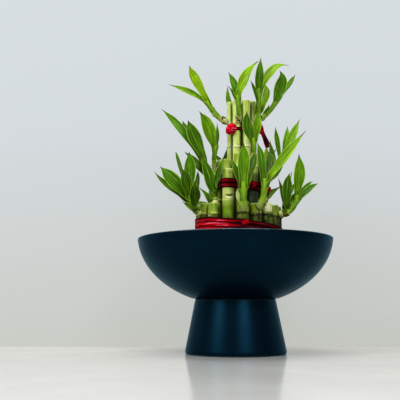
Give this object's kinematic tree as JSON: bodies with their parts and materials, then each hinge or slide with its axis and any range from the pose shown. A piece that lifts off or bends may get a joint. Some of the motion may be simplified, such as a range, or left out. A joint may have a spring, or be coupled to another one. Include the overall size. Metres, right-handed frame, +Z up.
{
  "type": "lucky bamboo in a footed bowl",
  "caption": "Tiered tower of cut green canes with leafy shoots, tied with red ribbon, standing in pebbles in a wide dark bowl on a conical foot.",
  "frame": {"origin": "centre of the foot's underside, on the surface that the pot stands on", "axes": "+Z up along the bowl's and foot's axis, -Y towards the side that the picture shows, +X to its right"},
  "size_m": [0.1998, 0.1998, 0.305],
  "materials": {
    "dark_coat": "satin",
    "pebble": "smooth, damp",
    "cane_lower": "waxy satin",
    "cane_middle": "waxy satin",
    "cane_upper": "waxy satin",
    "leaf": "waxy satin",
    "red_ribbon": "glossy satin weave"
  },
  "bodies": {
    "root": {"bowl": "dark_coat", "foot": "dark_coat", "pebbles": "pebble", "cane_lower_1": "cane_lower", "cane_lower_2": "cane_lower", "cane_lower_3": "cane_lower", "cane_lower_4": "cane_lower", "cane_lower_5": "cane_lower", "cane_lower_6": "cane_lower", "cane_lower_7": "cane_lower", "cane_lower_8": "cane_lower", "cane_lower_9": "cane_lower", "cane_lower_10": "cane_lower", "cane_lower_11": "cane_lower", "cane_lower_12": "cane_lower", "cane_lower_13": "cane_lower", "cane_lower_14": "cane_lower", "cane_lower_15": "cane_lower", "cane_middle_1": "cane_middle", "cane_middle_2": "cane_middle", "cane_middle_3": "cane_middle", "cane_middle_4": "cane_middle", "cane_middle_5": "cane_middle", "cane_middle_6": "cane_middle", "cane_middle_7": "cane_middle", "cane_middle_8": "cane_middle", "cane_middle_9": "cane_middle", "cane_middle_10": "cane_middle", "cane_upper_1": "cane_upper", "cane_upper_2": "cane_upper", "cane_upper_3": "cane_upper", "cane_upper_4": "cane_upper", "cane_upper_5": "cane_upper", "cane_upper_6": "cane_upper", "cane_upper_7": "cane_upper", "cane_upper_8": "cane_upper", "cane_leader": "cane_middle", "ribbon_lower": "red_ribbon", "ribbon_middle": "red_ribbon", "ribbon_upper": "red_ribbon", "shoot_top_left": "leaf", "shoot_top_front": "leaf", "shoot_top_centre": "leaf", "shoot_top_right": "leaf", "shoot_middle_front": "leaf", "shoot_left_tall": "leaf", "shoot_left_inner": "leaf", "shoot_front": "leaf", "shoot_front_right": "leaf", "shoot_right_tall": "leaf", "shoot_low_left": "leaf", "shoot_low_right": "leaf", "shoot_back_a": "leaf", "shoot_back_b": "leaf", "shoot_back_c": "leaf", "shoot_back_d": "leaf", "shoot_back_e": "leaf", "shoot_back_f": "leaf", "shoot_top_back": "leaf"}
  },
  "joints": []
}
